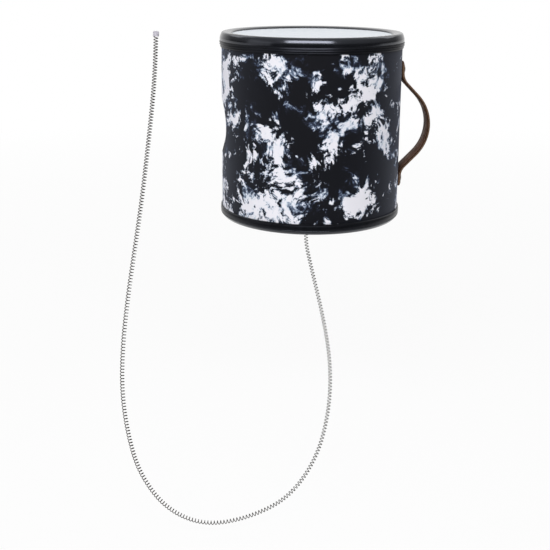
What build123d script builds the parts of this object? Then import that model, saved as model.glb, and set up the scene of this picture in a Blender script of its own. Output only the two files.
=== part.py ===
from build123d import *
from math import cos, pi, radians, sin, sqrt, tan
import os

os.makedirs("parts", exist_ok=True)

# A hand-held spring drum, in millimetres, upright as it is held.
# The origin is the middle of the strap handle's grip. The drum stands to the -X side of it
# with its axis along Z, and the sound port opens at its far side, towards -X.

# Shell and its printed covering
SHELL_DIAMETER = 177.2
SHELL_WALL = 4.6
SHELL_LENGTH = 178.0
WRAP_THICKNESS = 0.4
PORT_DIAMETER = 57.0

# Film heads, glued to the shell's ends
FILM_THICKNESS = 0.25

# Moulded rims over the films' edges and the collar bands beside them.
# The upper rim reaches further down the shell than the lower one reaches up.
RIM_WALL = 1.5
RIM_LEDGE = 10.1
RIM_RISE = 2.0
RIM_LIP_SLOPE = 3.0
RIM_BEVEL = 3.0
TOP_RIM_HEIGHT = 8.5
BOTTOM_RIM_HEIGHT = 4.0
BAND_WALL = 1.8
BAND_HEIGHT = 6.0

# Leather strap handle, thinned at its two ends
STRAP_WIDTH = 22.0
STRAP_THICKNESS = 3.0
STRAP_END_RADIUS = 8.0
THINNED_LENGTH = 4.5
THINNED_DEPTH = 1.0
FINGER_GAP = 27.0
HANDLE_LENGTH = 126.0
HANDLE_SLOPE = 44.0
CROWN_RADIUS = 42.5
FOOT_RADIUS = 15.5

# Handle fasteners, set back from the strap's ends
SCREW_SETBACK = 8.0
SCREW_DIAMETER = 4.0
SCREW_HEAD_DIAMETER = 7.0
SCREW_HEAD_HEIGHT = 1.2
SCREW_END = 1.0
WASHER_DIAMETER = 8.0
WASHER_THICKNESS = 0.8
NUT_ACROSS_FLATS = 7.0
NUT_THICKNESS = 3.2

# Spring anchor in the middle of the lower head
PATCH_DIAMETER = 28.0
PATCH_THICKNESS = 0.6
EYELET_DIAMETER = 9.0
EYELET_FLANGE = 0.6
BARREL_DIAMETER = 4.8
PIN_DIAMETER = 3.2
PIN_HEAD_DIAMETER = 6.0
PIN_HEAD_HEIGHT = 1.0
PIN_WASHER_DIAMETER = 8.4
PIN_WASHER_THICKNESS = 0.5
LUG_THICKNESS = 1.5

# Spring: one wire, drawn here with fewer and wider curls than the real coil
WIRE_DIAMETER = 0.8
WIRE_SIDES = 3
SPRING_DIAMETER = 4.3
CURLS = 31
HOOK_LENGTH = 3.2
HOOK_BEND_RADIUS = 0.65
TIP_WALL = 0.3
TIP_GAP = 0.1
TIP_LENGTH = 4.5
TIP_END = 1.0
TIP_BEVEL = 0.7

# Share of the shorter run that each arc of the spring's route takes up
ROUTE_ARC_SHARE = 0.45

# Fits: glued, pressed or bolted pieces, holes round a screw, and pieces that turn
SEAT_GAP = 0.05
HOLE_GAP = 0.1
RUNNING_GAP = 0.05

# Route of the spring from its hinge in the eye, as it is held in use
SPRING_ROUTE = [
    (0, 0, -3.2),
    (-2, 0, -15),
    (-3, -3, -31),
    (5, -12, -62),
    (16, -25, -107),
    (23, -40, -152),
    (20, -56, -196),
    (6, -72, -239),
    (-22, -86, -274),
    (-61, -98, -290),
    (-105, -110, -289),
    (-143, -120, -264),
    (-166, -125, -224),
    (-175, -129, -180),
    (-179, -131, -135),
    (-177, -132, -90),
    (-171.5, -132, -45),
    (-164.5, -131, -1),
    (-157, -130, 43),
    (-151, -128, 88),
    (-145, -127, 133),
    (-141, -126, 168),
    (-140, -125, 192),
]

# Radii and heights that the pieces share, measured from the drum's axis and middle
shell_radius = SHELL_DIAMETER / 2
bore_radius = shell_radius - SHELL_WALL
wrap_radius = shell_radius + WRAP_THICKNESS
ring_seat_radius = wrap_radius + SEAT_GAP
rim_radius = ring_seat_radius + RIM_WALL
rim_opening_radius = shell_radius - RIM_LEDGE
shell_end = SHELL_LENGTH / 2
film_face = shell_end + FILM_THICKNESS
rim_top = film_face + RIM_RISE

# The grip is the origin, so the drum's axis lies this far towards -X
axis_x = -(wrap_radius + FINGER_GAP + STRAP_THICKNESS / 2)
drum_axis = Axis((axis_x, 0, 0), (0, 0, 1))
profile_plane = Plane(origin=(axis_x, 0, 0), x_dir=(1, 0, 0), z_dir=(0, -1, 0))

# Screw stack, from the strap's outer face to the nut inside the shell
strap_sag = wrap_radius - sqrt(wrap_radius**2 - (STRAP_WIDTH / 2) ** 2)
strap_outside = axis_x + wrap_radius - strap_sag + STRAP_THICKNESS
washer_radius = WASHER_DIAMETER / 2
washer_inside = axis_x + sqrt(bore_radius**2 - washer_radius**2) - SEAT_GAP
nut_face = washer_inside - WASHER_THICKNESS
screw_tip = nut_face - NUT_THICKNESS - SCREW_END
screw_hole_radius = SCREW_DIAMETER / 2 + HOLE_GAP
strap_end = HANDLE_LENGTH / 2
screw_heights = (strap_end - SCREW_SETBACK, SCREW_SETBACK - strap_end)

# Spring anchor, from the lower film down to the hinge in the pin's eye
barrel_radius = BARREL_DIAMETER / 2
pin_radius = PIN_DIAMETER / 2
patch_face = -film_face - PATCH_THICKNESS
eyelet_face = patch_face - EYELET_FLANGE
eyelet_inside = -shell_end + EYELET_FLANGE
washer_foot = eyelet_inside + RUNNING_GAP
pin_head_foot = washer_foot + PIN_WASHER_THICKNESS
eye_radius = WIRE_DIAMETER / 2 + RUNNING_GAP
hinge_z = eyelet_face - RUNNING_GAP - pin_radius
hinge = Vector(axis_x, 0, hinge_z)
coil_radius = (SPRING_DIAMETER - WIRE_DIAMETER) / 2

# Shell: a pressed fibre tube with the sound port cut at -X and two screw holes at +X
with BuildPart() as shell:
    with BuildSketch(Plane(origin=(axis_x, 0, -shell_end))):
        Circle(shell_radius)
        Circle(bore_radius, mode=Mode.SUBTRACT)
    extrude(amount=SHELL_LENGTH)
    with BuildSketch(Plane(origin=(axis_x, 0, 0), x_dir=(0, -1, 0), z_dir=(-1, 0, 0))):
        Circle(PORT_DIAMETER / 2)
    extrude(amount=rim_radius, mode=Mode.SUBTRACT)
    with BuildSketch(Plane(origin=(axis_x, 0, 0), x_dir=(0, 1, 0), z_dir=(1, 0, 0))):
        with Locations(*[(0, z) for z in screw_heights]):
            Circle(screw_hole_radius)
    extrude(amount=rim_radius, mode=Mode.SUBTRACT)
shell.part.label = "shell"
export_step(shell.part, "parts/shell.step")

# Printed covering: a thin skin glued round the shell, with the same port and screw holes
with BuildPart() as shell_wrap:
    with BuildSketch(Plane(origin=(axis_x, 0, -shell_end))):
        Circle(wrap_radius)
        Circle(shell_radius + SEAT_GAP, mode=Mode.SUBTRACT)
    extrude(amount=SHELL_LENGTH)
    with BuildSketch(Plane(origin=(axis_x, 0, 0), x_dir=(0, -1, 0), z_dir=(-1, 0, 0))):
        Circle(PORT_DIAMETER / 2)
    extrude(amount=rim_radius, mode=Mode.SUBTRACT)
    with BuildSketch(Plane(origin=(axis_x, 0, 0), x_dir=(0, 1, 0), z_dir=(1, 0, 0))):
        with Locations(*[(0, z) for z in screw_heights]):
            Circle(screw_hole_radius)
    extrude(amount=rim_radius, mode=Mode.SUBTRACT)
shell_wrap.part.label = "shell_wrap"
export_step(shell_wrap.part, "parts/shell_wrap.step")

# Each end has a film head, a moulded rim over its edge and a collar band beside the rim.
# Only the lower film has a hole, for the spring's eyelet.
with BuildPart() as top_head:
    with BuildSketch(Plane(origin=(axis_x, 0, shell_end))):
        Circle(shell_radius)
    extrude(amount=FILM_THICKNESS)
top_head.part.label = "top_head"
export_step(top_head.part, "parts/top_head.step")

with BuildPart() as bottom_head:
    with BuildSketch(Plane(origin=(axis_x, 0, -film_face))):
        Circle(shell_radius)
        Circle(barrel_radius + SEAT_GAP, mode=Mode.SUBTRACT)
    extrude(amount=FILM_THICKNESS)
bottom_head.part.label = "bottom_head"
export_step(bottom_head.part, "parts/bottom_head.step")

for end, side, rim_height in (("top", 1, TOP_RIM_HEIGHT), ("bottom", -1, BOTTOM_RIM_HEIGHT)):
    # The rim's ledge slopes up from the film to a flat crest, and its wall hooks over the shell
    rim_foot = rim_top - rim_height
    with BuildPart() as rim:
        with BuildSketch(profile_plane):
            with BuildLine():
                Polyline(
                    (rim_opening_radius, side * film_face),
                    (rim_opening_radius + RIM_LIP_SLOPE, side * rim_top),
                    (rim_radius - RIM_BEVEL, side * rim_top),
                    (rim_radius, side * (rim_top - RIM_BEVEL)),
                    (rim_radius, side * rim_foot),
                    (ring_seat_radius, side * rim_foot),
                    (ring_seat_radius, side * film_face),
                    close=True,
                )
            make_face()
        revolve(axis=drum_axis)
    rim.part.label = f"{end}_rim"
    export_step(rim.part, f"parts/{end}_rim.step")

    # The collar band is pressed round the printed skin and butts against the rim's foot
    with BuildPart() as collar_band:
        with BuildSketch(profile_plane):
            with Locations((ring_seat_radius + BAND_WALL / 2, side * (rim_foot - BAND_HEIGHT / 2))):
                Rectangle(BAND_WALL, BAND_HEIGHT)
        revolve(axis=drum_axis)
    collar_band.part.label = f"{end}_collar_band"
    export_step(collar_band.part, f"parts/{end}_collar_band.step")

# Strap handle: flat feet on the shell, a straight rise and a round crown over the fingers
slope_drop = (CROWN_RADIUS + FOOT_RADIUS) * (1 - cos(radians(HANDLE_SLOPE)))
rise_length = (FINGER_GAP + strap_sag - slope_drop) / sin(radians(HANDLE_SLOPE))
foot_middle = strap_outside - STRAP_THICKNESS / 2
with BuildPart() as handle_strap:
    with BuildSketch(Plane.XZ):
        with BuildLine():
            crown = JernArc((0, 0), (0, 1), CROWN_RADIUS, HANDLE_SLOPE)
            rise = Line(crown @ 1, (crown @ 1) + (crown % 1) * rise_length)
            foot = JernArc(rise @ 1, rise % 1, FOOT_RADIUS, -HANDLE_SLOPE)
            Line(foot @ 1, (foot_middle, strap_end))
            mirror(about=Plane.XZ)
        trace(line_width=STRAP_THICKNESS)
        for side in (1, -1):
            with BuildLine():
                Polyline(
                    (strap_outside, side * (strap_end - THINNED_LENGTH)),
                    (strap_outside, side * strap_end),
                    (strap_outside - THINNED_DEPTH, side * strap_end),
                    close=True,
                )
            make_face(mode=Mode.SUBTRACT)
    extrude(amount=STRAP_WIDTH / 2, both=True)
    end_corners = handle_strap.edges().filter_by(Axis.X).group_by(SortBy.LENGTH)[-1]
    fillet(end_corners, STRAP_END_RADIUS)
    with BuildSketch(Plane(origin=(axis_x, 0, -shell_end))):
        Circle(wrap_radius + SEAT_GAP)
    extrude(amount=SHELL_LENGTH, mode=Mode.SUBTRACT)
    with BuildSketch(Plane(origin=(axis_x, 0, 0), x_dir=(0, 1, 0), z_dir=(1, 0, 0))):
        with Locations(*[(0, z) for z in screw_heights]):
            Circle(screw_hole_radius)
    extrude(until=Until.LAST, mode=Mode.SUBTRACT)
handle_strap.part.label = "handle_strap"
export_step(handle_strap.part, "parts/handle_strap.step")

# Handle fasteners: at each foot a low-head screw, and inside the shell a washer and a hexagon nut
with BuildPart() as handle_screws:
    for z in screw_heights:
        with BuildSketch(Plane(origin=(screw_tip, 0, z), z_dir=(1, 0, 0))):
            Circle(SCREW_DIAMETER / 2)
        extrude(amount=strap_outside - screw_tip)
        with BuildSketch(Plane(origin=(strap_outside, 0, z), z_dir=(1, 0, 0))):
            Circle(SCREW_HEAD_DIAMETER / 2)
        extrude(amount=SCREW_HEAD_HEIGHT)
handle_screws.part.label = "handle_screws"
export_step(handle_screws.part, "parts/handle_screws.step")

with BuildPart() as handle_washers:
    for z in screw_heights:
        with BuildSketch(Plane(origin=(nut_face, 0, z), z_dir=(1, 0, 0))):
            Circle(washer_radius)
            Circle(screw_hole_radius, mode=Mode.SUBTRACT)
        extrude(amount=WASHER_THICKNESS)
handle_washers.part.label = "handle_washers"
export_step(handle_washers.part, "parts/handle_washers.step")

with BuildPart() as handle_nuts:
    for z in screw_heights:
        with BuildSketch(Plane(origin=(nut_face - NUT_THICKNESS, 0, z), z_dir=(1, 0, 0))):
            RegularPolygon(NUT_ACROSS_FLATS / 2, 6, major_radius=False)
            Circle(SCREW_DIAMETER / 2 + SEAT_GAP, mode=Mode.SUBTRACT)
        extrude(amount=NUT_THICKNESS)
handle_nuts.part.label = "handle_nuts"
export_step(handle_nuts.part, "parts/handle_nuts.step")

# Patch: a disc glued under the lower film to spread the spring's pull
with BuildPart() as head_patch:
    with BuildSketch(Plane(origin=(axis_x, 0, patch_face))):
        Circle(PATCH_DIAMETER / 2)
        Circle(barrel_radius + SEAT_GAP, mode=Mode.SUBTRACT)
    extrude(amount=PATCH_THICKNESS)
head_patch.part.label = "head_patch"
export_step(head_patch.part, "parts/head_patch.step")

# Eyelet: a barrel through film and patch, with a flange rolled over at each end
with BuildPart() as head_eyelet:
    with BuildSketch(profile_plane):
        with BuildLine():
            Polyline(
                (pin_radius + RUNNING_GAP, eyelet_face),
                (EYELET_DIAMETER / 2, eyelet_face),
                (EYELET_DIAMETER / 2, patch_face),
                (barrel_radius, patch_face),
                (barrel_radius, -shell_end),
                (EYELET_DIAMETER / 2, -shell_end),
                (EYELET_DIAMETER / 2, eyelet_inside),
                (pin_radius + RUNNING_GAP, eyelet_inside),
                close=True,
            )
        make_face()
    revolve(axis=drum_axis)
head_eyelet.part.label = "head_eyelet"
export_step(head_eyelet.part, "parts/head_eyelet.step")

# Eye pin: turns in the eyelet, with its head inside the drum and a flat eye for the spring's hook
with BuildPart() as eye_pin:
    with BuildSketch(Plane(origin=(axis_x, 0, pin_head_foot))):
        Circle(PIN_HEAD_DIAMETER / 2)
    extrude(amount=PIN_HEAD_HEIGHT)
    with BuildSketch(Plane(origin=(axis_x, 0, eyelet_face - RUNNING_GAP))):
        Circle(pin_radius)
    extrude(amount=pin_head_foot - eyelet_face + RUNNING_GAP)
    with BuildSketch(Plane(origin=hinge, x_dir=(1, 0, 0), z_dir=(0, -1, 0))):
        Circle(pin_radius)
        with Locations((0, pin_radius / 2)):
            Rectangle(PIN_DIAMETER, pin_radius)
        Circle(eye_radius, mode=Mode.SUBTRACT)
    extrude(amount=LUG_THICKNESS / 2, both=True)
eye_pin.part.label = "eye_pin"
export_step(eye_pin.part, "parts/eye_pin.step")

# Pin washer: sits under the pin's head and turns on the eyelet's inner flange
with BuildPart() as pin_washer:
    with BuildSketch(Plane(origin=(axis_x, 0, washer_foot))):
        Circle(PIN_WASHER_DIAMETER / 2)
        Circle(pin_radius + SEAT_GAP, mode=Mode.SUBTRACT)
    extrude(amount=PIN_WASHER_THICKNESS)
pin_washer.part.label = "pin_washer"
export_step(pin_washer.part, "parts/pin_washer.step")

# Spring: the wire hooks through the pin's eye and then curls along the route.
# The route is straight runs with an arc at each point, as large as its two runs allow.
route_points = [hinge + Vector(*point) for point in SPRING_ROUTE]
route_radii = []
for before, here, after in zip(route_points, route_points[1:], route_points[2:]):
    half_turn = (here - before).get_angle(after - here) / 2
    shorter_run = min((here - before).length, (after - here).length)
    route_radii.append(ROUTE_ARC_SHARE * shorter_run / tan(radians(half_turn)))
route = FilletPolyline(*route_points, radius=route_radii)
print("spring route length", round(route.length, 1), "least radius", round(min(route_radii), 1))
print("route radii", [round(radius) for radius in route_radii])

# The curls' middle line stops short of the tip's floor, which the wire's end meets squarely
route_end = route @ 1
end_direction = route % 1
coil_length = route.length - 2 * WIRE_DIAMETER
pitch = coil_length / CURLS


def wire_nodes():
    """Points and directions of the wire at every half curl, from the hook's leg to the tip."""
    normal = Vector(0, -1, 0)
    nodes = [(hinge + Vector(0, -coil_radius, -HOOK_LENGTH / 2), Vector(0, 0, -1))]
    for half_curl in range(2 * CURLS + 1):
        along = coil_length * half_curl / (2 * CURLS)
        centre = route.position_at(along, PositionMode.LENGTH)
        forward = route.tangent_at(along, PositionMode.LENGTH)
        normal = (normal - forward * normal.dot(forward)).normalized()
        side = 1 - 2 * (half_curl % 2)
        across = forward.cross(normal) * side * coil_radius
        point = centre + normal * side * coil_radius
        nodes.append((point, (forward * pitch / (2 * pi) + across).normalized()))
    last_point = nodes[-1][0] + end_direction * WIRE_DIAMETER
    nodes.append((last_point, end_direction))
    return nodes


def biarc_middle(start, start_direction, finish, finish_direction):
    """Where two arcs that leave start and reach finish along the given directions meet."""
    chord = finish - start
    both = start_direction + finish_direction
    bend = 2 * (1 - start_direction.dot(finish_direction))
    reach = chord.dot(both)
    if bend < 1e-9:
        handle = chord.dot(chord) / (2 * reach)
    else:
        handle = (sqrt(reach**2 + bend * chord.dot(chord)) - reach) / bend
    first = start + start_direction * handle
    second = finish - finish_direction * handle
    return (first + second) * 0.5, (second - first).normalized()


nodes = wire_nodes()
bar_half = coil_radius - HOOK_BEND_RADIUS
tail_end = hinge + Vector(0, coil_radius, -HOOK_BEND_RADIUS - WIRE_DIAMETER)
tail_top = hinge + Vector(0, coil_radius, -HOOK_BEND_RADIUS)
bar_start = hinge + Vector(0, bar_half, 0)
bar_end = hinge + Vector(0, -bar_half, 0)
leg_top = hinge + Vector(0, -coil_radius, -HOOK_BEND_RADIUS)
with BuildPart() as spring:
    with BuildLine() as wire_line:
        Line(tail_end, tail_top)
        TangentArc(tail_top, bar_start, tangent=(0, 0, 1))
        Line(bar_start, bar_end)
        TangentArc(bar_end, leg_top, tangent=(0, -1, 0))
        Line(leg_top, nodes[0][0])
        for (start, start_direction), (finish, finish_direction) in zip(nodes, nodes[1:]):
            middle, middle_direction = biarc_middle(start, start_direction, finish, finish_direction)
            TangentArc(start, middle, tangent=start_direction)
            TangentArc(middle, finish, tangent=middle_direction)
        wire_end = nodes[-1][0] + end_direction * WIRE_DIAMETER
        Line(nodes[-1][0], wire_end)
    with BuildSketch(Plane(origin=tail_end, x_dir=(0, 1, 0), z_dir=(0, 0, 1))) as wire_section:
        RegularPolygon(WIRE_DIAMETER / 2, WIRE_SIDES)
    sweep(clean=False)
spring.part.label = "spring"
export_step(spring.part, "parts/spring.step")
wire = wire_line.wires()[0]
section_times_length = wire_section.sketch.area * wire.length
print("spring volume over its section times its length", round(spring.part.volume / section_times_length, 4))

# Least gap between stretches of the wire that are half a curl or more apart
steps_per_curl = 12
steps = steps_per_curl * CURLS
wire_points = [tuple(wire.position_at(step / steps)) for step in range(steps + 1)]
least_distance = min(
    sum((a - b) ** 2 for a, b in zip(wire_points[first], wire_points[second]))
    for first in range(steps)
    for second in range(first + steps_per_curl // 2, steps + 1)
)
print("spring's least gap to itself", round(sqrt(least_distance) - WIRE_DIAMETER, 2))

# Tip: a soft vinyl cap pushed over the spring's free end
tip_plane = Plane(origin=route_end + end_direction * SEAT_GAP, z_dir=end_direction)
tip_bore_radius = SPRING_DIAMETER / 2 + TIP_GAP
with BuildPart() as spring_tip:
    with BuildSketch(tip_plane.offset(TIP_END)):
        Circle(tip_bore_radius + TIP_WALL)
    extrude(amount=-TIP_LENGTH)
    with BuildSketch(tip_plane):
        Circle(tip_bore_radius)
    extrude(amount=-TIP_LENGTH, mode=Mode.SUBTRACT)
    closed_end = spring_tip.faces().sort_by(Axis(route_end, end_direction))[-1]
    chamfer(closed_end.edges(), TIP_BEVEL)
spring_tip.part.label = "spring_tip"
export_step(spring_tip.part, "parts/spring_tip.step")
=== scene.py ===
import math

import bmesh
import bpy
from mathutils import Matrix, Vector


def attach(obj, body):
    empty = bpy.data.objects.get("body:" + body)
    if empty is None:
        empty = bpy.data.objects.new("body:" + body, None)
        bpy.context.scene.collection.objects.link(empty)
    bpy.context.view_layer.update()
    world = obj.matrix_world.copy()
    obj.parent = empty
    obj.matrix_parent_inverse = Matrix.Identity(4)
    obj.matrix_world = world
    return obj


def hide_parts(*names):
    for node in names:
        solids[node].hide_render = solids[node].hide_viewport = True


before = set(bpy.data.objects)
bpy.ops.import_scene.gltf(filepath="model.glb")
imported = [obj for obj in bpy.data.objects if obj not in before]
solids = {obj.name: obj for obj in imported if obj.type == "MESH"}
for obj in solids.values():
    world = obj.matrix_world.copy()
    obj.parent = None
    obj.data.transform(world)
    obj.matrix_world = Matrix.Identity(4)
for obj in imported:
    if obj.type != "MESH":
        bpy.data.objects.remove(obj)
bpy.context.view_layer.update()


# Shell: a tube of pressed wood fibre, sawn to length, with the sound port cut in its left side.
# Only the port's cut edge and the inside show. The CAD node keeps its shape.
def linear(code):
    """An sRGB hex colour as linear red, green, blue and alpha."""
    channels = [int(code[at : at + 2], 16) / 255 for at in (1, 3, 5)]
    return [c / 12.92 if c <= 0.04045 else ((c + 0.055) / 1.055) ** 2.4 for c in channels] + [1.0]


def new_material(name, sockets):
    """A material with one Principled shader, whose inputs that are the same all over are set here."""
    material = bpy.data.materials.new(name)
    material.use_nodes = True
    for socket, value in sockets.items():
        material.node_tree.nodes["Principled BSDF"].inputs[socket].default_value = value
    return material


def add(material, kind, inputs, stops=None, to=None, **settings):
    """Adds a node: inputs are values or sockets, stops a ramp's colours, to the shader input it feeds."""
    tree = material.node_tree
    node = tree.nodes.new(kind)
    for name, value in settings.items():
        setattr(node, name, value)
    for name, value in inputs.items():
        if isinstance(value, bpy.types.NodeSocket):
            tree.links.new(value, node.inputs[name])
        else:
            node.inputs[name].default_value = value
    if stops:
        elements = node.color_ramp.elements
        while len(elements) < len(stops):
            elements.new(0.5)
        for element, (position, code) in zip(elements, stops):
            element.position = position
            element.color = linear(code)
    if to:
        output = next(socket for socket in node.outputs if socket.enabled)
        tree.links.new(output, tree.nodes["Principled BSDF"].inputs[to])
    return node


def per_mm(size):
    """The texture scale at which a pattern repeats about every so many millimetres."""
    return 1000 / size


# Pressed wood fibre, dyed through: dull, dark and finely flecked with paler fibres about 1.2 mm long.
pressed_fibre = new_material("pressed_fibre", {"Roughness": 0.85, "IOR": 1.45})
place = add(pressed_fibre, "ShaderNodeTexCoord", {})
fibres = add(
    pressed_fibre,
    "ShaderNodeTexNoise",
    {"Vector": place.outputs["Object"], "Scale": per_mm(1.2), "Detail": 4.0, "Roughness": 0.65},
)
add(
    pressed_fibre,
    "ShaderNodeValToRGB",
    {"Fac": fibres.outputs["Fac"]},
    stops=[(0.35, "#2b241e"), (0.55, "#43382e"), (0.72, "#6a5a49")],
    to="Base Color",
)
add(
    pressed_fibre,
    "ShaderNodeBump",
    {"Height": fibres.outputs["Fac"], "Strength": 0.5, "Distance": 0.0003},
    to="Normal",
)
solids["shell"].material_slots[0].material = pressed_fibre


# Skin: a thin printed covering wrapped round the shell and glued, cut out at the port.
# It is satin, navy black, with bleached blotches that feather out through pale blue.
printed_skin = new_material(
    "printed_satin_cloth",
    {
        "Roughness": 0.6,
        "IOR": 1.46,
        "Specular IOR Level": 0.15,
        "Sheen Weight": 0.16,
        "Sheen Roughness": 0.5,
        "Sheen Tint": linear("#aab6d6"),
    },
)
place = add(printed_skin, "ShaderNodeTexCoord", {})
# Slow folds of about 34 mm and crumples of about 4 mm push the blotches' outlines about.
# The pushes are in metres.
fold_push = 0.03
crumple_push = 0.0035
folds = add(
    printed_skin,
    "ShaderNodeTexNoise",
    {"Vector": place.outputs["Object"], "Scale": per_mm(34), "Detail": 2.0},
)
folded = add(
    printed_skin,
    "ShaderNodeVectorMath",
    {0: folds.outputs["Color"], 1: (fold_push,) * 3, 2: place.outputs["Object"]},
    operation="MULTIPLY_ADD",
)
crumples = add(
    printed_skin,
    "ShaderNodeTexNoise",
    {"Vector": folded.outputs["Vector"], "Scale": per_mm(4), "Detail": 6.0, "Roughness": 0.75},
)
crumpled = add(
    printed_skin,
    "ShaderNodeVectorMath",
    {0: crumples.outputs["Color"], 1: (crumple_push,) * 3, 2: folded.outputs["Vector"]},
    operation="MULTIPLY_ADD",
)
# Blotches of about 36 mm with torn edges, and flecks of about 6 mm scattered round them.
# The layout's number picks one of the noise's patterns.
print_layout = 9.0
fleck_share = 0.5
blotches = add(
    printed_skin,
    "ShaderNodeTexNoise",
    {
        "Vector": crumpled.outputs["Vector"],
        "W": print_layout,
        "Scale": per_mm(36),
        "Detail": 7.0,
        "Roughness": 0.62,
    },
    noise_dimensions="4D",
)
flecks = add(
    printed_skin,
    "ShaderNodeTexNoise",
    {"Vector": crumpled.outputs["Vector"], "Scale": per_mm(6), "Detail": 6.0, "Roughness": 0.72},
)
bleach = add(
    printed_skin,
    "ShaderNodeMath",
    {0: flecks.outputs["Fac"], 1: fleck_share, 2: blotches.outputs["Fac"]},
    operation="MULTIPLY_ADD",
)
# The dye has crept further in some places than in others, so that edges are torn here and soft there
creep = add(
    printed_skin,
    "ShaderNodeTexNoise",
    {"Vector": place.outputs["Object"], "Scale": per_mm(26), "Detail": 1.0},
)
sharpness = add(
    printed_skin,
    "ShaderNodeMapRange",
    {"Value": creep.outputs["Fac"], "From Min": 0.38, "From Max": 0.6, "To Min": 6.0, "To Max": 26.0},
)
# The bleach ends where it falls below this level, half way along the colours
bleach_line = 0.797
half_bleached = 0.5
above = add(
    printed_skin,
    "ShaderNodeMath",
    {0: bleach.outputs["Value"], 1: bleach_line},
    operation="SUBTRACT",
)
depth = add(
    printed_skin,
    "ShaderNodeMath",
    {0: above.outputs["Value"], 1: sharpness.outputs["Result"], 2: half_bleached},
    operation="MULTIPLY_ADD",
)
add(
    printed_skin,
    "ShaderNodeValToRGB",
    {"Fac": depth.outputs["Value"]},
    stops=[
        (0.0, "#0c0d13"),
        (0.2, "#171a25"),
        (0.36, "#2b3346"),
        (0.5, "#5e6d87"),
        (0.6, "#aebccd"),
        (0.74, "#dbdee7"),
        (1.0, "#e4e3ea"),
    ],
    to="Base Color",
)
# The cloth's threads are near 0.3 mm and are drawn at 0.9 mm so that they show
threads = add(
    printed_skin,
    "ShaderNodeTexNoise",
    {"Vector": place.outputs["Object"], "Scale": per_mm(0.9), "Detail": 2.0},
)
add(
    printed_skin,
    "ShaderNodeBump",
    {"Height": threads.outputs["Fac"], "Strength": 0.2, "Distance": 0.0002},
    to="Normal",
)
solids["shell_wrap"].material_slots[0].material = printed_skin


# Heads: discs of milky polyester film, glued to the shell's ends and covered at the edge by the rims.
# The lower one has a hole for the spring's eyelet. The CAD nodes keep their shape.
# Coated polyester film: pale, a little blue, with the coating's faint mottling every few millimetres.
coated_film = new_material("coated_polyester_film", {"Roughness": 0.42, "IOR": 1.57})
place = add(coated_film, "ShaderNodeTexCoord", {})
mottle = add(
    coated_film,
    "ShaderNodeTexNoise",
    {"Vector": place.outputs["Object"], "Scale": per_mm(6), "Detail": 5.0, "Roughness": 0.6},
)
add(
    coated_film,
    "ShaderNodeValToRGB",
    {"Fac": mottle.outputs["Fac"]},
    stops=[(0.3, "#d9e1ea"), (0.5, "#e3e9f0"), (0.72, "#eceff4")],
    to="Base Color",
)
# The coating's grit is near 0.3 mm and is drawn at 1.2 mm so that it shows
grit = add(
    coated_film,
    "ShaderNodeTexNoise",
    {"Vector": place.outputs["Object"], "Scale": per_mm(1.2), "Detail": 2.0},
)
add(
    coated_film,
    "ShaderNodeBump",
    {"Height": grit.outputs["Fac"], "Strength": 0.25, "Distance": 0.0002},
    to="Normal",
)
for end in ("top", "bottom"):
    solids[f"{end}_head"].material_slots[0].material = coated_film


# Rims: black moulded rings that lie on the films' edges and hook over the shell, pressed and glued on.
# Each has a crest, a flank outside and a thin lip on the film; the lower one is shallower.
MM = 0.001
axis_x = -117.5
film_face = 89.25
ring_seat_radius = 89.05


def new_piece(name, points, faces, materials, sharp_angle):
    """A mesh object from points in metres, smooth but for edges sharper than the angle in degrees."""
    mesh = bpy.data.meshes.new(name)
    mesh.from_pydata(points, [], faces)
    shaper = bmesh.new()
    shaper.from_mesh(mesh)
    bmesh.ops.recalc_face_normals(shaper, faces=shaper.faces)
    shaper.to_mesh(mesh)
    shaper.free()
    mesh.shade_smooth()
    mesh.set_sharp_from_angle(angle=math.radians(sharp_angle))
    for material in materials:
        mesh.materials.append(material)
    piece = bpy.data.objects.new(name, mesh)
    bpy.context.scene.collection.objects.link(piece)
    return piece


def arc(centre, radii, start, finish, steps):
    """Points of an elliptical arc between two angles in degrees."""
    found = []
    for step in range(steps + 1):
        angle = math.radians(start + (finish - start) * step / steps)
        found.append((centre[0] + radii[0] * math.cos(angle), centre[1] + radii[1] * math.sin(angle)))
    return found


def turned(name, profile, material, steps=180, sharp_angle=32, centre=(axis_x, 0.0)):
    """A piece turned from a closed outline of (radius, height) points in mm round an upright axis."""
    points = []
    faces = []
    rows = []
    for step in range(steps):
        angle = 2 * math.pi * step / steps
        row = []
        for at, (radius, height) in enumerate(profile):
            if radius == 0 and rows:
                row.append(rows[0][at])
                continue
            across = (centre[0] + radius * math.cos(angle)) * MM
            deep = (centre[1] + radius * math.sin(angle)) * MM
            row.append(len(points))
            points.append((across, deep, height * MM))
        rows.append(row)
    for row, after in zip(rows, rows[1:] + rows[:1]):
        for at in range(len(profile)):
            beside = (at + 1) % len(profile)
            corners = dict.fromkeys((row[at], after[at], after[beside], row[beside]))
            if len(corners) > 2:
                faces.append(tuple(corners))
    return new_piece(name, points, faces, [material], sharp_angle)


# Moulded ABS, black through, from a polished mould: glossy, with soft-edged highlights and a very fine grain.
moulded_abs = new_material("moulded_black_abs", {"IOR": 1.53, "Specular Tint": linear("#e8eeff")})
place = add(moulded_abs, "ShaderNodeTexCoord", {})
handling = add(
    moulded_abs,
    "ShaderNodeTexNoise",
    {"Vector": place.outputs["Object"], "Scale": per_mm(14), "Detail": 6.0, "Roughness": 0.62},
)
add(
    moulded_abs,
    "ShaderNodeValToRGB",
    {"Fac": handling.outputs["Fac"]},
    stops=[(0.35, "#08090c"), (0.62, "#0d0e12"), (0.8, "#15161b")],
    to="Base Color",
)
add(
    moulded_abs,
    "ShaderNodeMapRange",
    {"Value": handling.outputs["Fac"], "From Min": 0.3, "From Max": 0.75, "To Min": 0.15, "To Max": 0.19},
    to="Roughness",
)
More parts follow.
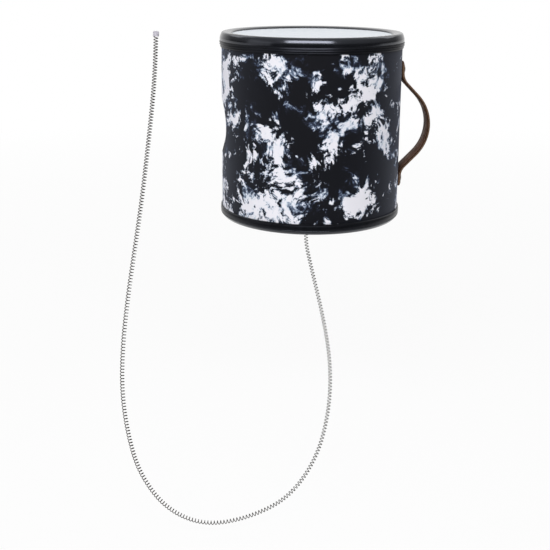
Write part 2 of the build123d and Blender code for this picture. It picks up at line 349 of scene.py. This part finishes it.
# The mould's grain is near 0.1 mm and is drawn at 0.7 mm so that it shows
grain = add(
    moulded_abs,
    "ShaderNodeTexNoise",
    {"Vector": place.outputs["Object"], "Scale": per_mm(0.7), "Detail": 2.0},
)
add(
    moulded_abs,
    "ShaderNodeBump",
    {"Height": grain.outputs["Fac"], "Strength": 0.12, "Distance": 0.0001},
    to="Normal",
)

rim_radius = 90.55
rim_opening = 78.5
crest_radius = 86.4
lip_height = 0.3
foot_round = 0.6
# Radius and height above the film: the upper rim has a steep flank under its crest, the lower one a bevel
outer_sides = {
    "top": [
        (87.6, 2.02),
        (88.5, 1.58),
        (89.05, 0.95),
        (89.55, -0.3),
        (90.0, -1.6),
        (90.35, -2.7),
        (rim_radius, -3.8),
    ],
    "bottom": [(87.4, 2.35), (88.1, 1.9), (89.2, 0.65), (90.2, -0.5), (90.48, -1.0)],
}
rim_feet = {}
for end, side, rim_rise, foot in (("top", 1, 2.2, -6.5), ("bottom", -1, 2.5, -2.0)):
    rim_feet[end] = film_face + foot
    crest_reach = (crest_radius - rim_opening, rim_rise - lip_height)
    outline = [(rim_opening, 0.0)]
    outline += arc((crest_radius, lip_height), crest_reach, 180, 90, 12)
    outline += outer_sides[end]
    outline += arc((rim_radius - foot_round, foot + foot_round), (foot_round, foot_round), 0, -90, 5)
    outline += [(ring_seat_radius, foot), (ring_seat_radius, 0.0)]
    outline = [(radius, side * (film_face + height)) for radius, height in outline]
    rim = turned(f"{end}_rim_moulding", outline, moulded_abs)
    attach(rim, "drum")
    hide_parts(f"{end}_rim")


# Collar bands: thinner black rings pressed round the skin against the rims' feet.
# The upper one has stepped lines, the lower one is plain with a raised top edge.
# Moulded polypropylene, black: duller than the rims, with faint scuffs about 5 mm across.
moulded_band = new_material(
    "moulded_black_polypropylene",
    {"IOR": 1.49, "Specular IOR Level": 0.2, "Specular Tint": linear("#e2e8ff")},
)
place = add(moulded_band, "ShaderNodeTexCoord", {})
scuffs = add(
    moulded_band,
    "ShaderNodeTexNoise",
    {"Vector": place.outputs["Object"], "Scale": per_mm(5), "Detail": 6.0, "Roughness": 0.7},
)
add(
    moulded_band,
    "ShaderNodeValToRGB",
    {"Fac": scuffs.outputs["Fac"]},
    stops=[(0.35, "#08090b"), (0.6, "#0e0f12"), (0.82, "#18191d")],
    to="Base Color",
)
add(
    moulded_band,
    "ShaderNodeMapRange",
    {"Value": scuffs.outputs["Fac"], "From Min": 0.3, "From Max": 0.75, "To Min": 0.26, "To Max": 0.38},
    to="Roughness",
)

band_height = 6.0
# Radius and way from the rim: two slanted steps and a fine line above, a plain swelling and an edge below
band_sides = {
    "top": [
        (90.6, 0.0),
        (91.0, 1.1),
        (90.4, 1.5),
        (90.4, 1.8),
        (90.85, 3.1),
        (90.0, 3.5),
        (90.0, 4.2),
        (90.25, 5.0),
        (89.9, 5.3),
        (89.9, band_height),
    ],
    "bottom": [
        (90.2, 0.0),
        (90.6, 1.2),
        (90.65, 2.4),
        (90.55, 3.6),
        (90.1, 4.8),
        (90.35, 5.2),
        (90.35, 5.7),
        (89.95, band_height),
    ],
}
for end, side in (("top", 1), ("bottom", -1)):
    outline = [(ring_seat_radius, 0.0)] + band_sides[end] + [(ring_seat_radius, band_height)]
    outline = [(radius, side * (rim_feet[end] - height)) for radius, height in outline]
    band = turned(f"{end}_collar_moulding", outline, moulded_band)
    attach(band, "drum")
    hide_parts(f"{end}_collar_band")


# Strap handle: two plies of brown leather glued back to back, bent up over the fingers and screwed on.
# Its feet lie on the round shell, a little thicker than the rest, and are pared thin at the ends.
# A creased line runs along each edge, and the edges are cut square and rounded off.
strap_half_width = 11.0
strap_half_thickness = 1.5
strap_end_radius = 8.0
thinned_length = 4.5
thinned_depth = 1.0
finger_gap = 27.0
strap_end = 63.0
slope = math.radians(44)
crown_radius = 42.5
foot_radius = 15.5
skin_radius = 89.0
seat_gap = 0.05
foot_swell = 0.8
strap_sag = skin_radius - math.sqrt(skin_radius**2 - strap_half_width**2)
foot_middle = axis_x + skin_radius - strap_sag + strap_half_thickness

# Grained leather, vegetable tanned and dyed dark brown: pebbled grain about 1.4 mm across, and paler
# where it is worn, in patches of about 11 mm.
strap_leather = new_material("grained_brown_leather", {"IOR": 1.48, "Specular IOR Level": 0.1})
place = add(strap_leather, "ShaderNodeTexCoord", {})
pebbles = add(
    strap_leather,
    "ShaderNodeTexVoronoi",
    {"Vector": place.outputs["Object"], "Scale": per_mm(1.4), "Randomness": 1.0},
    feature="SMOOTH_F1",
)
wear = add(
    strap_leather,
    "ShaderNodeTexNoise",
    {"Vector": place.outputs["Object"], "Scale": per_mm(11), "Detail": 6.0, "Roughness": 0.62},
)
add(
    strap_leather,
    "ShaderNodeValToRGB",
    {"Fac": wear.outputs["Fac"]},
    stops=[(0.3, "#452f25"), (0.5, "#604538"), (0.72, "#785a48")],
    to="Base Color",
)
add(
    strap_leather,
    "ShaderNodeMapRange",
    {"Value": wear.outputs["Fac"], "From Min": 0.3, "From Max": 0.7, "To Min": 0.7, "To Max": 0.55},
    to="Roughness",
)
add(
    strap_leather,
    "ShaderNodeBump",
    {"Height": pebbles.outputs["Distance"], "Strength": 0.35, "Distance": 0.0004},
    to="Normal",
)

# Cut leather edges: the outer ply's is burnished and pale, the inner ply's is stained dark.
# The fibres in them are near 0.5 mm and are drawn at 1.6 mm so that they show.
ply_edges = []
for name, tones in (
    ("burnished_leather_edge", ("#4a382c", "#6a5342", "#866c56")),
    ("stained_leather_edge", ("#22160f", "#342318", "#493427")),
):
    ply_edge = new_material(name, {"Roughness": 0.5, "IOR": 1.48, "Specular IOR Level": 0.15})
    place = add(ply_edge, "ShaderNodeTexCoord", {})
    plies = add(
        ply_edge,
        "ShaderNodeTexNoise",
        {"Vector": place.outputs["Object"], "Scale": per_mm(1.6), "Detail": 5.0, "Roughness": 0.7},
    )
    add(
        ply_edge,
        "ShaderNodeValToRGB",
        {"Fac": plies.outputs["Fac"]},
        stops=list(zip((0.32, 0.52, 0.72), tones)),
        to="Base Color",
    )
    add(
        ply_edge,
        "ShaderNodeBump",
        {"Height": plies.outputs["Fac"], "Strength": 0.4, "Distance": 0.0003},
        to="Normal",
    )
    ply_edges.append(ply_edge)


crown_steps = 14
rise_steps = 8
foot_steps = 12
least_step = 0.5
# Ways back from the strap's end to its last sections, closer where it is rounded and pared
end_ways = (9.0, 8.0, 6.0, 4.5, 3.2, 2.0, 1.1, 0.4, 0.0)


def strap_line():
    """Stations of the strap's upper half from its crown: x, z, outward direction and share of foot."""
    stations = []
    for step in range(crown_steps + 1):
        turn = slope * step / crown_steps
        stations.append((crown_radius * (math.cos(turn) - 1), crown_radius * math.sin(turn), turn, 0.0))
    drop = (crown_radius + foot_radius) * (1 - math.cos(slope))
    rise_length = (finger_gap + strap_sag - drop) / math.sin(slope)
    start = stations[-1]
    for step in range(1, rise_steps + 1):
        way = rise_length * step / rise_steps
        stations.append((start[0] - way * math.sin(slope), start[1] + way * math.cos(slope), slope, 0.0))
    start = stations[-1]
    centre = (start[0] + foot_radius * math.cos(slope), start[1] + foot_radius * math.sin(slope))
    for step in range(1, foot_steps + 1):
        share = step / foot_steps
        turn = slope * (1 - share)
        place_x = centre[0] - foot_radius * math.cos(turn)
        place_z = centre[1] - foot_radius * math.sin(turn)
        stations.append((place_x, place_z, turn, share))
    start = stations[-1]
    for back in end_ways:
        if strap_end - back > start[1] + least_step:
            stations.append((foot_middle, strap_end - back, 0.0, 1.0))
    return stations


widest_corner = 0.7
edge_round = 0.2
edge_round_middle = 0.35
edge_round_depth = 0.75
crease_inset = 2.2
crease_half_width = 0.45
outer_crease_depth = 0.28
inner_crease_depth = 0.2
ply_groove_depth = 0.22
ply_groove_half_width = 0.18


def strap_section(half_width, outside, inside):
    """Outline of the strap across its width, with rounded edges, creased lines and a ply line."""
    corner = min(widest_corner, half_width / 4)
    crease = half_width - crease_inset if half_width > 4 else half_width * 0.6
    right = [
        (0.0, outside),
        (crease - crease_half_width, outside),
        (crease, outside - outer_crease_depth),
        (crease + crease_half_width, outside),
        (half_width - corner, outside),
        (half_width - edge_round, outside - edge_round_middle),
        (half_width, outside - edge_round_depth),
        (half_width, ply_groove_half_width),
        (half_width - ply_groove_depth, 0.0),
        (half_width, -ply_groove_half_width),
        (half_width, inside + edge_round_depth),
        (half_width - edge_round, inside + edge_round_middle),
        (half_width - corner, inside),
        (crease + crease_half_width, inside),
        (crease, inside + inner_crease_depth),
        (crease - crease_half_width, inside),
        (0.0, inside),
    ]
    left = [(-across, out) for across, out in reversed(right[1:-1])]
    return right + left


half = strap_line()
stations = [(x, -z, -turn, share) for x, z, turn, share in reversed(half[1:])] + half
points = []
faces = []
section_size = 0
for x, z, turn, share in stations:
    to_end = strap_end - abs(z)
    half_width = strap_half_width
    outside = strap_half_thickness
    if to_end < strap_end_radius:
        half_width += math.sqrt(strap_end_radius**2 - (strap_end_radius - to_end) ** 2) - strap_end_radius
    if to_end < thinned_length:
        outside -= thinned_depth * (1 - to_end / thinned_length)
    on_foot = share * share * (3 - 2 * share)
    outside += on_foot * foot_swell
    inside = -strap_half_thickness + on_foot * (strap_sag + seat_gap)
    section = strap_section(half_width, outside, inside)
    section_size = len(section)
    for across, out in section:
        hug = on_foot * (skin_radius - math.sqrt(skin_radius**2 - across**2))
        out_x = x + out * math.cos(turn) - hug
        out_z = z + out * math.sin(turn)
        points.append((out_x * MM, across * MM, out_z * MM))
for row in range(len(stations) - 1):
    for at in range(section_size):
        beside = (at + 1) % section_size
        base = row * section_size
        faces.append((base + at, base + beside, base + section_size + beside, base + section_size + at))
faces.append(tuple(range(section_size)))
faces.append(tuple(range(len(points) - section_size, len(points))))
strap = new_piece("leather_strap", points, faces, [strap_leather, *ply_edges], 40)
for polygon in strap.data.polygons:
    faces_sideways = abs(polygon.normal.y) > 0.6
    closes_an_end = abs(polygon.center.z) > (strap_end - 0.01) * MM
    if faces_sideways or closes_an_end:
        at = polygon.index % section_size
        is_inner_ply = section[at][1] + section[(at + 1) % section_size][1] < 0
        polygon.material_index = 2 if is_inner_ply else 1
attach(strap, "drum")
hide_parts("handle_strap")


# Handle fasteners: at each end of the strap a low-head steel screw with a hexagon socket.
# Inside the shell a washer and a nut, which keep their CAD shapes.
screw_height = 55.0
screw_head_radius = 3.5
screw_head_height = 1.2
# Radius and drop below the top, round the head's edge
head_edge = [(2.6, 0.0), (3.1, 0.12), (3.38, 0.4), (screw_head_radius, 0.8)]
socket_reach = 1.45
socket_depth = 0.7
socket_bevel = 0.08
socket_flare = 1.06
shank_radius = 2.0
shank_end = -38.9
steps_round_head = 48
strap_outside = foot_middle + strap_half_thickness + foot_swell

# Zinc-plated steel, barrel plated: bright grey, a little cloudy, with the plating's mottling near 2 mm.
zinc_steel = new_material("zinc_plated_steel", {"Metallic": 1.0})
place = add(zinc_steel, "ShaderNodeTexCoord", {})
cloud = add(
    zinc_steel,
    "ShaderNodeTexNoise",
    {"Vector": place.outputs["Object"], "Scale": per_mm(2), "Detail": 5.0, "Roughness": 0.6},
)
add(
    zinc_steel,
    "ShaderNodeValToRGB",
    {"Fac": cloud.outputs["Fac"]},
    stops=[(0.3, "#9a9c9d"), (0.55, "#b7b9b9"), (0.75, "#c9c8c2")],
    to="Base Color",
)
add(
    zinc_steel,
    "ShaderNodeMapRange",
    {"Value": cloud.outputs["Fac"], "From Min": 0.3, "From Max": 0.7, "To Min": 0.24, "To Max": 0.42},
    to="Roughness",
)


def hexagon(angle):
    """How far a hexagon socket's wall lies from its middle in this direction, for a reach of one."""
    return math.cos(math.pi / 6) / math.cos((angle % (math.pi / 3)) - math.pi / 6)


# Rings from the socket's floor over the head to the shank's end: radius, height, and whether it is the socket
rings = [(1.0, screw_head_height - socket_depth, True), (1.0, screw_head_height - socket_bevel, True)]
rings += [(socket_flare, screw_head_height, True)]
rings += [(radius, screw_head_height - drop, False) for radius, drop in head_edge]
rings += [(screw_head_radius, 0.0, False), (shank_radius, 0.0, False)]
rings += [(shank_radius, shank_end - strap_outside, False)]
around = steps_round_head
for word, side in (("upper", 1), ("lower", -1)):
    points = []
    faces = []
    for radius, height, is_socket in rings:
        for step in range(around):
            angle = 2 * math.pi * step / around
            reach = radius * socket_reach * hexagon(angle) if is_socket else radius
            out_y = reach * math.cos(angle)
            out_z = side * screw_height + reach * math.sin(angle)
            points.append(((strap_outside + height) * MM, out_y * MM, out_z * MM))
    for ring in range(len(rings) - 1):
        for step in range(around):
            beside = (step + 1) % around
            base = ring * around
            faces.append((base + step, base + beside, base + around + beside, base + around + step))
    faces.append(tuple(range(around)))
    faces.append(tuple(range(len(points) - around, len(points))))
    screw = new_piece(f"{word}_handle_screw", points, faces, [zinc_steel], 30)
    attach(screw, "drum")
    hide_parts("handle_screws")
for node in ("handle_washers", "handle_nuts"):
    solids[node].material_slots[0].material = zinc_steel


# Spring anchor in the middle of the lower head: a cloth patch, a brass eyelet rolled over on both
# sides, and a steel eye pin with a washer that turns in it. The pin and its washer keep their CAD shapes.
# Cloth tape: black cotton in a plain weave, threads 0.4 mm apart drawn at 1.58 mm so that they show.
# At a scale of one, the wave texture's phase turns by 20 radians in a metre.
cloth_tape = new_material("black_cloth_tape", {"Roughness": 0.8, "IOR": 1.47})
place = add(cloth_tape, "ShaderNodeTexCoord", {})
thread_scale = per_mm(1.58) * math.tau / 20
warp = add(
    cloth_tape,
    "ShaderNodeTexWave",
    {"Vector": place.outputs["Object"], "Scale": thread_scale, "Distortion": 0.6, "Detail": 1.0},
    bands_direction="X",
)
weft = add(
    cloth_tape,
    "ShaderNodeTexWave",
    {"Vector": place.outputs["Object"], "Scale": thread_scale, "Distortion": 0.6, "Detail": 1.0},
    bands_direction="Y",
)
weave = add(
    cloth_tape,
    "ShaderNodeMath",
    {0: warp.outputs["Fac"], 1: weft.outputs["Fac"]},
    operation="MULTIPLY",
)
add(
    cloth_tape,
    "ShaderNodeValToRGB",
    {"Fac": weave.outputs["Value"]},
    stops=[(0.1, "#0c0c0c"), (0.6, "#222222"), (1.0, "#303030")],
    to="Base Color",
)
add(
    cloth_tape,
    "ShaderNodeBump",
    {"Height": weave.outputs["Value"], "Strength": 0.5, "Distance": 0.0003},
    to="Normal",
)
patch_radius = 14.0
patch_hole = 2.45
patch_thickness = 0.6
patch_face = -film_face - patch_thickness
# Ways in from the patch's edge and up from its face, where the edge is pressed thin
patch_edge = [(0.0, 0.35), (0.35, 0.06), (0.8, 0.0)]
outline = [(patch_hole, -film_face), (patch_radius, -film_face)]
outline += [(patch_radius - inwards, patch_face + upwards) for inwards, upwards in patch_edge]
outline += [(patch_hole, patch_face)]
patch = turned("cloth_patch", outline, cloth_tape, steps=96)
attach(patch, "drum")
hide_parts("head_patch")

# Pressed brass, bright but handled: warm yellow with a slight cloudiness near 3 mm
pressed_brass = new_material("pressed_brass", {"Metallic": 1.0})
place = add(pressed_brass, "ShaderNodeTexCoord", {})
tarnish = add(
    pressed_brass,
    "ShaderNodeTexNoise",
    {"Vector": place.outputs["Object"], "Scale": per_mm(3), "Detail": 5.0, "Roughness": 0.6},
)
add(
    pressed_brass,
    "ShaderNodeValToRGB",
    {"Fac": tarnish.outputs["Fac"]},
    stops=[(0.3, "#b08a45"), (0.55, "#cfab62"), (0.75, "#dcbd7c")],
    to="Base Color",
)
add(
    pressed_brass,
    "ShaderNodeMapRange",
    {"Value": tarnish.outputs["Fac"], "From Min": 0.3, "From Max": 0.7, "To Min": 0.3, "To Max": 0.2},
    to="Roughness",
)
eyelet_bore = 1.65
eyelet_barrel = 2.4
eyelet_radius = 4.5
flange = 0.6
roll_height = 0.5
roll_width = 0.9
roll_edge = 0.1
shell_end = 89.0
bore_roll = (roll_height, roll_height)
edge_roll = (roll_width, roll_height)
outline = arc((eyelet_bore + roll_height, patch_face - flange + roll_height), bore_roll, 180, 270, 6)
outline += arc((eyelet_radius - roll_width, patch_face - roll_edge), edge_roll, 270, 360, 8)
outline += [(eyelet_radius - roll_edge, patch_face), (eyelet_barrel, patch_face), (eyelet_barrel, -shell_end)]
outline += arc((eyelet_radius - roll_width, -shell_end + roll_edge), edge_roll, 0, 90, 8)
outline += arc((eyelet_bore + roll_height, -shell_end + flange - roll_height), bore_roll, 90, 180, 6)
eyelet = turned("rolled_eyelet", outline, pressed_brass, steps=72)
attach(eyelet, "drum")
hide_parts("head_eyelet")
for node in ("eye_pin", "pin_washer"):
    solids[node].material_slots[0].material = zinc_steel


# Spring: one steel wire wound in an open coil 4.3 mm across, with a hook through the pin's eye.
# It runs down and round in a wide U, and its free end stands up at the left, as it was photographed.
hinge = Vector((axis_x, 0.0, -92.1))
wire_radius = 0.375
coil_radius = 1.775
# The turns are near 2.1 mm apart, and are drawn wider so that they show, most of all round the bend
pitch_at_hook = 3.05
pitch_at_tip = 2.4
opening_in_bend = 0.6
hook_bend = 0.65
hook_tail = 0.8
wire_sides = 6
steps_per_turn = 14
# The spring's way from the hook to the tip, as offsets from the hook
spring_route = [
    (0, 0, -3.2),
    (-2, 0, -15),
    (-3.7, -3, -31),
    (3.7, -12, -62),
    (14.9, -25, -107),
    (22.2, -40, -152),
    (20, -56, -197),
    (7.1, -72, -241),
    (-21.2, -86, -277.5),
    (-62, -98, -292.7),
    (-106.4, -110, -293.5),
    (-143, -120, -269.2),
    (-167.4, -125, -228),
    (-177, -129, -183.6),
    (-180.9, -131, -138),
    (-178.3, -132, -92),
    (-172.3, -132, -46.7),
    (-164.8, -131, -2),
    (-157.4, -130, 42),
    (-151.1, -128, 87.5),
    (-145.2, -127, 133),
    (-142.1, -126, 167),
    (-141.2, -125, 190.8),
]

# Drawn spring steel, dulled by handling: dark warm grey, with draw marks that change its tone every 1.5 mm
spring_wire = new_material("drawn_spring_steel", {"Metallic": 1.0})
place = add(spring_wire, "ShaderNodeTexCoord", {})
draw_marks = add(
    spring_wire,
    "ShaderNodeTexNoise",
    {"Vector": place.outputs["Object"], "Scale": per_mm(1.5), "Detail": 4.0, "Roughness": 0.6},
)
add(
    spring_wire,
    "ShaderNodeValToRGB",
    {"Fac": draw_marks.outputs["Fac"]},
    stops=[(0.3, "#2a2621"), (0.55, "#3a352d"), (0.75, "#50483d")],
    to="Base Color",
)
add(
    spring_wire,
    "ShaderNodeMapRange",
    {"Value": draw_marks.outputs["Fac"], "From Min": 0.3, "From Max": 0.7, "To Min": 0.22, "To Max": 0.36},
    to="Roughness",
)

curve = bpy.data.curves.new("spring_route", "CURVE")
curve.dimensions = "3D"
curve.resolution_u = 24
spline = curve.splines.new("NURBS")
spline.points.add(len(spring_route) - 1)
for point, offset in zip(spline.points, spring_route):
    point.co = ((hinge + Vector(offset)) * MM).to_4d()
spline.order_u = 3
spline.use_endpoint_u = True
route = bpy.data.objects.new("spring_route", curve)
bpy.context.scene.collection.objects.link(route)
bpy.context.view_layer.update()
route_mesh = bpy.data.meshes.new_from_object(route)
line = [vertex.co.copy() for vertex in route_mesh.vertices]
bpy.data.objects.remove(route)

ways = [0.0]
for before, here in zip(line, line[1:]):
    ways.append(ways[-1] + (here - before).length)
spring_length = ways[-1]

# The hook: a short tail, the bar through the eye, and the leg down to the first turn
wire = [hinge + Vector((0, coil_radius, -hook_bend - hook_tail))]
for across, height in arc((coil_radius - hook_bend, -hook_bend), (hook_bend, hook_bend), 0, 90, 6):
    wire.append(hinge + Vector((0, across, height)))
for across, height in arc((hook_bend - coil_radius, -hook_bend), (hook_bend, hook_bend), 90, 180, 6):
    wire.append(hinge + Vector((0, across, height)))
wire = [point * MM for point in wire]

# The coil: its turns start slowly over the first 3 mm after the hook
normal = Vector((0, -1, 0))
run_up = 3.0 * MM
step_length = pitch_at_tip * MM / steps_per_turn
steps = int(spring_length / step_length)
angle = 0.0
at = 0
for step in range(steps + 1):
    way = min(step * step_length, spring_length)
    while at < len(line) - 2 and ways[at + 1] < way:
        at += 1
    share = (way - ways[at]) / (ways[at + 1] - ways[at])
    middle = line[at].lerp(line[at + 1], share)
    forward = (line[at + 1] - line[at]).normalized()
    normal = (normal - forward * normal.dot(forward)).normalized()
    along = way / spring_length
    pitch = pitch_at_hook + (pitch_at_tip - pitch_at_hook) * along
    pitch += opening_in_bend * math.sin(math.pi * along)
    angle += 2 * math.pi * step_length / (pitch * MM) * min(way / run_up, 1)
    side = normal.cross(forward)
    wire.append(middle + (normal * math.cos(angle) + side * math.sin(angle)) * coil_radius * MM)

points = []
faces = []
across = Vector((1, 0, 0))
for at, middle in enumerate(wire):
    forward = (wire[min(at + 1, len(wire) - 1)] - wire[max(at - 1, 0)]).normalized()
    across = (across - forward * across.dot(forward)).normalized()
    beside = forward.cross(across)
    for side in range(wire_sides):
        angle = 2 * math.pi * side / wire_sides
        points.append(middle + (across * math.cos(angle) + beside * math.sin(angle)) * wire_radius * MM)
for row in range(len(wire) - 1):
    for side in range(wire_sides):
        after = (side + 1) % wire_sides
        base = row * wire_sides
        faces.append((base + side, base + after, base + wire_sides + after, base + wire_sides + side))
faces.append(tuple(range(wire_sides)))
faces.append(tuple(range(len(points) - wire_sides, len(points))))
spring = new_piece("coil_spring", points, faces, [spring_wire], 80)
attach(spring, "spring")
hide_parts("spring")


# Tip: a soft vinyl cap pushed over the spring's free end, moulded with a rounded closed end.
# Vinyl, pale and milky: soft sheen and slightly cloudy, near 3 mm.
soft_vinyl = new_material("milky_soft_vinyl", {"Roughness": 0.45, "IOR": 1.52})
place = add(soft_vinyl, "ShaderNodeTexCoord", {})
milk = add(
    soft_vinyl,
    "ShaderNodeTexNoise",
    {"Vector": place.outputs["Object"], "Scale": per_mm(3), "Detail": 4.0},
)
add(
    soft_vinyl,
    "ShaderNodeValToRGB",
    {"Fac": milk.outputs["Fac"]},
    stops=[(0.3, "#aaa7b1"), (0.6, "#c0bdc7"), (0.8, "#d6d4dc")],
    to="Base Color",
)
tip_bore = 2.25
tip_radius = 2.55
tip_length = 4.5
tip_end = 1.05
tip_floor = 0.05
tip_round = 0.95
mouth_round = 0.2
mouth = tip_end - tip_length
outline = [(0, tip_floor), (tip_bore, tip_floor), (tip_bore, mouth)]
outline += arc((tip_radius - mouth_round, mouth + mouth_round), (mouth_round, mouth_round), 270, 360, 4)
outline += arc((tip_radius - tip_round, tip_end - tip_round), (tip_round, tip_round), 0, 90, 10)
outline += [(0, tip_end)]
tip = turned("vinyl_tip", outline, soft_vinyl, steps=40, centre=(0.0, 0.0))
forward = (line[-1] - line[-2]).normalized()
tip.data.transform(Matrix.Translation(line[-1]) @ forward.to_track_quat("Z", "Y").to_matrix().to_4x4())
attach(tip, "spring")
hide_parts("spring_tip")


# Studio: a plain white floor under the spring's lowest bend, soft lamps and a white surround.
# The floor takes a soft shadow and fades into the surround.
scene = bpy.context.scene
scene.view_settings.view_transform = "Standard"

floor_height = -0.4
floor_reach = 60.0
floor_mesh = bpy.data.meshes.new("studio_floor")
corners = [(-1, -1), (1, -1), (1, 1), (-1, 1)]
floor_points = [(axis_x * MM + x * floor_reach, y * floor_reach, floor_height) for x, y in corners]
floor_mesh.from_pydata(floor_points, [], [(0, 1, 2, 3)])
floor = bpy.data.objects.new("studio_floor", floor_mesh)
scene.collection.objects.link(floor)
# White paper, matt: near the object a tenth of it is lit as paper, so that the shadow shows, and
# further off it is as white as the surround. In reflections its front half is a dim room.
room_level = 0.12
room_front = -0.9
room_back = 0.1
plain_share = 0.9
fade_start = 0.7
fade_end = 2.5
paper = new_material("white_studio_paper", {"Base Color": linear("#f4f4f4"), "Roughness": 0.9})
floor_mesh.materials.append(paper)
tree = paper.node_tree
rays = add(paper, "ShaderNodeLightPath", {})
place = add(paper, "ShaderNodeTexCoord", {})
apart = add(paper, "ShaderNodeSeparateXYZ", {"Vector": place.outputs["Object"]})
room = add(
    paper,
    "ShaderNodeMapRange",
    {
        "Value": apart.outputs["Y"],
        "From Min": room_front,
        "From Max": room_back,
        "To Min": room_level,
        "To Max": 1.0,
    },
)
distance = add(paper, "ShaderNodeVectorMath", {0: place.outputs["Object"]}, operation="LENGTH")
fade = add(
    paper,
    "ShaderNodeMapRange",
    {
        "Value": distance.outputs["Value"],
        "From Min": fade_start,
        "From Max": fade_end,
        "To Min": plain_share,
        "To Max": 1.0,
    },
)
strength = add(
    paper,
    "ShaderNodeMix",
    {"Factor": rays.outputs["Is Glossy Ray"], "A": 1.0, "B": room.outputs["Result"]},
)
glow = add(
    paper,
    "ShaderNodeEmission",
    {"Color": linear("#ffffff"), "Strength": strength.outputs["Result"]},
)
share = add(
    paper,
    "ShaderNodeMath",
    {0: rays.outputs["Is Camera Ray"], 1: fade.outputs["Result"]},
    operation="MULTIPLY",
)
seen = add(
    paper,
    "ShaderNodeMath",
    {0: share.outputs["Value"], 1: rays.outputs["Is Glossy Ray"]},
    operation="MAXIMUM",
)
seen = add(
    paper,
    "ShaderNodeMath",
    {0: seen.outputs["Value"], 1: rays.outputs["Is Transmission Ray"]},
    operation="MAXIMUM",
)
lit = tree.nodes["Principled BSDF"]
mixed = add(
    paper,
    "ShaderNodeMixShader",
    {0: seen.outputs["Value"], 1: lit.outputs["BSDF"], 2: glow.outputs["Emission"]},
)
# From below the paper lets the view through to the drum's lower head
surface = add(paper, "ShaderNodeNewGeometry", {})
clear = add(paper, "ShaderNodeBsdfTransparent", {})
one_sided = add(
    paper,
    "ShaderNodeMixShader",
    {0: surface.outputs["Backfacing"], 1: mixed.outputs["Shader"], 2: clear.outputs["BSDF"]},
)
tree.links.new(one_sided.outputs["Shader"], tree.nodes["Material Output"].inputs["Surface"])

# The surround: white where it is seen, an even fill on the object, and in reflections the same dim room,
# white behind the drum and overhead
world = bpy.data.worlds.new("white_surround")
scene.world = world
world.use_nodes = True
tree = world.node_tree
backdrop = tree.nodes["Background"]
backdrop.inputs["Color"].default_value = linear("#ffffff")
fill_level = 0.34
rays = add(world, "ShaderNodeLightPath", {})
place = add(world, "ShaderNodeTexCoord", {})
apart = add(world, "ShaderNodeSeparateXYZ", {"Vector": place.outputs["Generated"]})
behind = add(
    world,
    "ShaderNodeMapRange",
    {"Value": apart.outputs["Y"], "From Min": 0.5, "From Max": 0.95, "To Min": room_level, "To Max": 1.0},
)
overhead = add(
    world,
    "ShaderNodeMapRange",
    {"Value": apart.outputs["Z"], "From Min": 0.1, "From Max": 0.8, "To Min": room_level, "To Max": 1.0},
)
room = add(
    world,
    "ShaderNodeMath",
    {0: behind.outputs["Result"], 1: overhead.outputs["Result"]},
    operation="MAXIMUM",
)
unseen = add(
    world,
    "ShaderNodeMix",
    {"Factor": rays.outputs["Is Glossy Ray"], "A": fill_level, "B": room.outputs["Value"]},
)
seen = add(
    world,
    "ShaderNodeMath",
    {0: rays.outputs["Is Camera Ray"], 1: rays.outputs["Is Transmission Ray"]},
    operation="MAXIMUM",
)
level = add(
    world,
    "ShaderNodeMix",
    {"Factor": seen.outputs["Value"], "A": unseen.outputs["Result"], "B": 1.0},
)
tree.links.new(level.outputs["Result"], backdrop.inputs["Strength"])

# Lamps: a long strip in front gives the rim its streak, and weak softboxes stand over and round the drum
lamp_aim = Vector((axis_x * MM, 0, 0.05))
for name, place, wide, high, power in (
    ("front_strip", (-0.3, -1.5, 1.05), 1.7, 0.3, 24.5),
    ("top_softbox", (-0.16, -0.2, 1.5), 0.7, 0.7, 1),
    ("left_softbox", (-1.5, -0.5, 0.3), 0.9, 0.9, 2),
    ("back_left_softbox", (-1.3, 0.8, 1.1), 0.9, 0.9, 4.5),
    ("back_right_softbox", (1.1, 0.8, 1.1), 0.9, 0.9, 4.5),
):
    lamp_data = bpy.data.lights.new(name, "AREA")
    lamp_data.shape = "RECTANGLE"
    lamp_data.size = wide
    lamp_data.size_y = high
    lamp_data.energy = power
    lamp = bpy.data.objects.new(name, lamp_data)
    scene.collection.objects.link(lamp)
    lamp.location = place
    lamp.rotation_euler = (lamp_aim - Vector(place)).to_track_quat("-Z", "Y").to_euler()

# Camera: a little above the drum's top, turned down, with the frame shifted below the lens's axis
camera_place = (-0.18047, -0.9714, 0.15805)
pitch = math.radians(14.91)
roll = math.radians(0.34)
yaw = math.radians(1.66)
focal_pixels = 974.5
frame_pixels = 550
sensor_width = 36
lens_axis = (275.4, 220.4)
forward = Vector((math.sin(yaw) * math.cos(pitch), math.cos(yaw) * math.cos(pitch), -math.sin(pitch)))
level_right = Vector((math.cos(yaw), -math.sin(yaw), 0))
level_up = level_right.cross(forward)
right = level_right * math.cos(roll) + level_up * math.sin(roll)
up = level_up * math.cos(roll) - level_right * math.sin(roll)
camera_data = bpy.data.cameras.new("photo_camera")
camera_data.sensor_width = sensor_width
camera_data.lens = sensor_width * focal_pixels / frame_pixels
camera_data.shift_x = 0.5 - lens_axis[0] / frame_pixels
camera_data.shift_y = lens_axis[1] / frame_pixels - 0.5
camera_data.clip_start = 0.01
camera = bpy.data.objects.new("photo_camera", camera_data)
scene.collection.objects.link(camera)
camera_turn = Matrix((right, up, -forward)).transposed()
camera.matrix_world = Matrix.Translation(camera_place) @ camera_turn.to_4x4()
scene.camera = camera

# Bring every object's placement up to date
bpy.context.view_layer.update()
